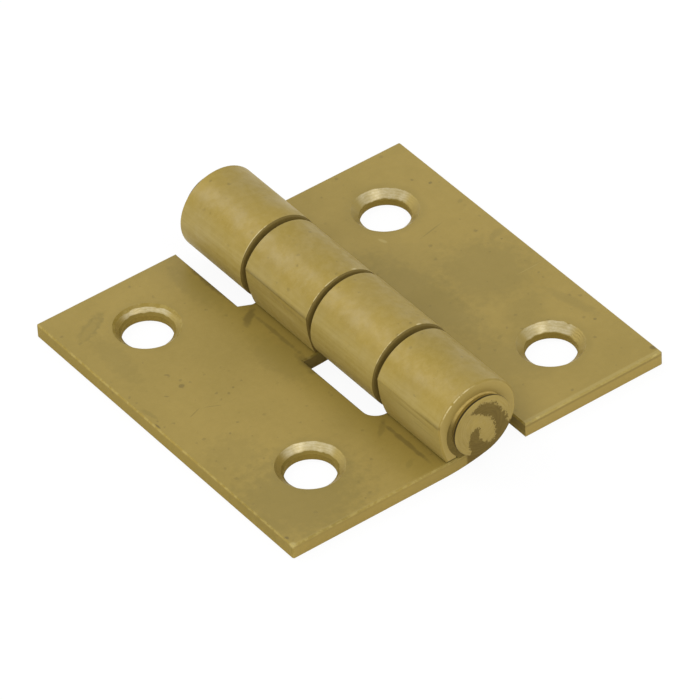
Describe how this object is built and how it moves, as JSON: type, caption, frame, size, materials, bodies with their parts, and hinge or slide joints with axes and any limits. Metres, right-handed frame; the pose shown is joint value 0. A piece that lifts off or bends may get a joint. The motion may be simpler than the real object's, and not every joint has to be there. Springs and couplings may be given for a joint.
{
  "type": "butt hinge",
  "caption": "Small flat butt hinge of pressed brass-plated sheet steel, rolled knuckles on a plain pin, countersunk screw holes in both leaves.",
  "frame": {"origin": "on the back plane of the open hinge, below the middle of the pin", "axes": "+Y along the pin to the end with the right leaf's knuckle, +X towards the right leaf, +Z out of the mounting surface, on the side where the knuckles stand and the holes are countersunk"},
  "size_m": [0.0423, 0.0418, 0.0093],
  "materials": {
    "plated_sheet": "satin",
    "plated_pin": "satin"
  },
  "bodies": {
    "fixed_leaf": {"leaf_left": "plated_sheet", "pin": "plated_pin"},
    "swinging_leaf": {"leaf_right": "plated_sheet"}
  },
  "joints": [
    {"name": "leaf_hinge", "type": "hinge", "parent": "fixed_leaf", "child": "swinging_leaf", "pos_m": [0, 0, 0.00487], "axis": [0, -1, 0], "range_deg": [-84, 196]}
  ]
}
